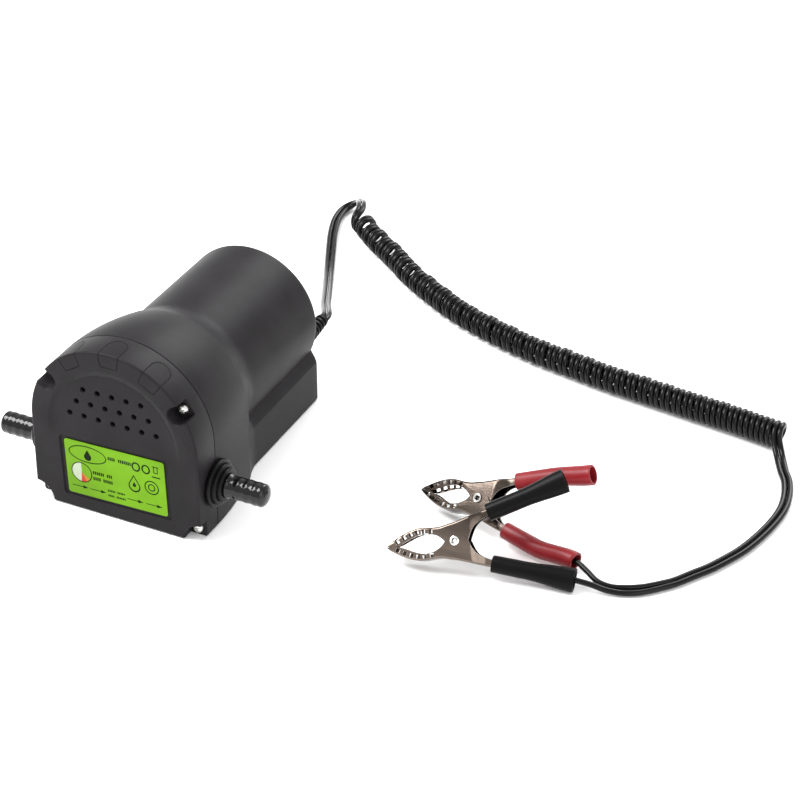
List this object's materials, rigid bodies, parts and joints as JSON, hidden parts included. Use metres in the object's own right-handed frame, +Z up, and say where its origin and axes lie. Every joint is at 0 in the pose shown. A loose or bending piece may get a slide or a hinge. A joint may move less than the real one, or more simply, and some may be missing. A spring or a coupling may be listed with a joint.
{
  "type": "fluid transfer pump",
  "caption": "Electric fluid transfer pump: arched plastic body with capped side ports, a vented front with a label, and a curly supply cord ending in two battery clips.",
  "frame": {"origin": "centre of the body bounding box at the height of its flat base, leaving out the cord, its strain relief and the clips", "axes": "+Z up from the base, -Y out of the vented front face with the label, +X along the ports towards the outlet"},
  "size_m": [0.4112, 0.3699, 0.106],
  "materials": {
    "charcoal_plastic": "fine matte texture",
    "black_rubber": "satin",
    "black_vinyl": "soft gloss",
    "red_vinyl": "soft gloss",
    "label_print": "printed film",
    "zinc_steel": "zinc plated",
    "nickel_steel": "nickel plated",
    "cast_aluminium": "die cast",
    "hard_steel": "ground",
    "bronze": "sintered",
    "copper_windings": "copper",
    "ferrite": "sintered ferrite",
    "carbon": "pressed carbon",
    "gasket_fibre": "fibre sheet",
    "black_switch": "satin"
  },
  "bodies": {
    "pump": {"front_cover": "charcoal_plastic", "rear_housing": "charcoal_plastic", "label": "label_print", "cover_screw_upper_left": "zinc_steel", "cover_screw_upper_right": "zinc_steel", "cover_screw_lower_left": "zinc_steel", "cover_screw_lower_right": "zinc_steel", "pump_screw_1": "zinc_steel", "pump_screw_2": "zinc_steel", "pump_screw_3": "zinc_steel", "pump_screw_4": "zinc_steel", "motor_can": "zinc_steel", "left_port_grommet": "black_rubber", "right_port_grommet": "black_rubber", "shaft_seal": "black_rubber", "strain_relief": "black_rubber", "cord_lead": "black_vinyl", "cord_coil": "black_vinyl", "cord_tail": "black_vinyl", "black_wire": "black_vinyl", "red_wire": "black_vinyl", "supply_wire": "black_vinyl", "return_wire": "black_vinyl", "black_clip_lower_sleeve": "black_vinyl", "red_clip_lower_sleeve": "red_vinyl", "switch_wire": "red_vinyl", "inlet_barb": "cast_aluminium", "outlet_barb": "cast_aluminium", "pump_body": "cast_aluminium", "pump_end_plate": "cast_aluminium", "pump_gasket": "gasket_fibre", "idler_pin": "hard_steel", "black_clip_spring": "hard_steel", "red_clip_spring": "hard_steel", "front_bushing": "bronze", "rear_bushing": "bronze", "motor_endbell": "black_switch", "switch_body": "black_switch", "magnet_left": "ferrite", "magnet_right": "ferrite", "brush_upper": "carbon", "brush_lower": "carbon", "black_clip_lower_jaw": "nickel_steel", "black_clip_rivet": "nickel_steel", "red_clip_lower_jaw": "nickel_steel", "red_clip_rivet": "nickel_steel"},
    "rotor": {"motor_shaft": "hard_steel", "armature": "copper_windings", "commutator": "copper_windings", "drive_gear": "hard_steel"},
    "idler": {"driven_gear": "hard_steel"},
    "rocker": {"switch_rocker": "black_switch"},
    "inlet_cap": {"left_port_cap": "black_vinyl"},
    "outlet_cap": {"right_port_cap": "black_vinyl"},
    "black_clip_upper": {"black_clip_upper_jaw": "nickel_steel", "black_clip_upper_sleeve": "black_vinyl"},
    "red_clip_upper": {"red_clip_upper_jaw": "nickel_steel", "red_clip_upper_sleeve": "red_vinyl"}
  },
  "joints": [
    {"name": "motor_spin", "type": "hinge", "parent": "pump", "child": "rotor", "pos_m": [0, -0.0205, 0.0368], "axis": [0, 1, 0], "continuous": true},
    {"name": "idler_spin", "type": "hinge", "parent": "pump", "child": "idler", "pos_m": [0, -0.0605, 0.0208], "axis": [0, 1, 0], "continuous": true},
    {"name": "rocker_tip", "type": "hinge", "parent": "pump", "child": "rocker", "pos_m": [0, 0.0777, 0.062], "axis": [0, 0, 1], "range_deg": [-22, 0]},
    {"name": "inlet_cap_pull", "type": "slide", "parent": "pump", "child": "inlet_cap", "axis": [-1, 0, 0], "range_m": [0, 0.024]},
    {"name": "outlet_cap_pull", "type": "slide", "parent": "pump", "child": "outlet_cap", "axis": [1, 0, 0], "range_m": [0, 0.024]},
    {"name": "black_clip_squeeze", "type": "hinge", "parent": "pump", "child": "black_clip_upper", "pos_m": [0.1843, -0.0359, 0.015], "axis": [0.1638, -0.7708, 0.6157], "range_deg": [-25, 0], "stiffness_Nm_per_rad": 0.3, "springref_deg": 57.3},
    {"name": "red_clip_squeeze", "type": "hinge", "parent": "pump", "child": "red_clip_upper", "pos_m": [0.1806, 0.0056, 0.01395], "axis": [-0.1828, -0.7118, 0.6782], "range_deg": [-25, 0], "stiffness_Nm_per_rad": 0.3, "springref_deg": 57.3}
  ],
  "couplings": [
    {"joint": "idler_spin", "follows": "motor_spin", "ratio": -1}
  ]
}
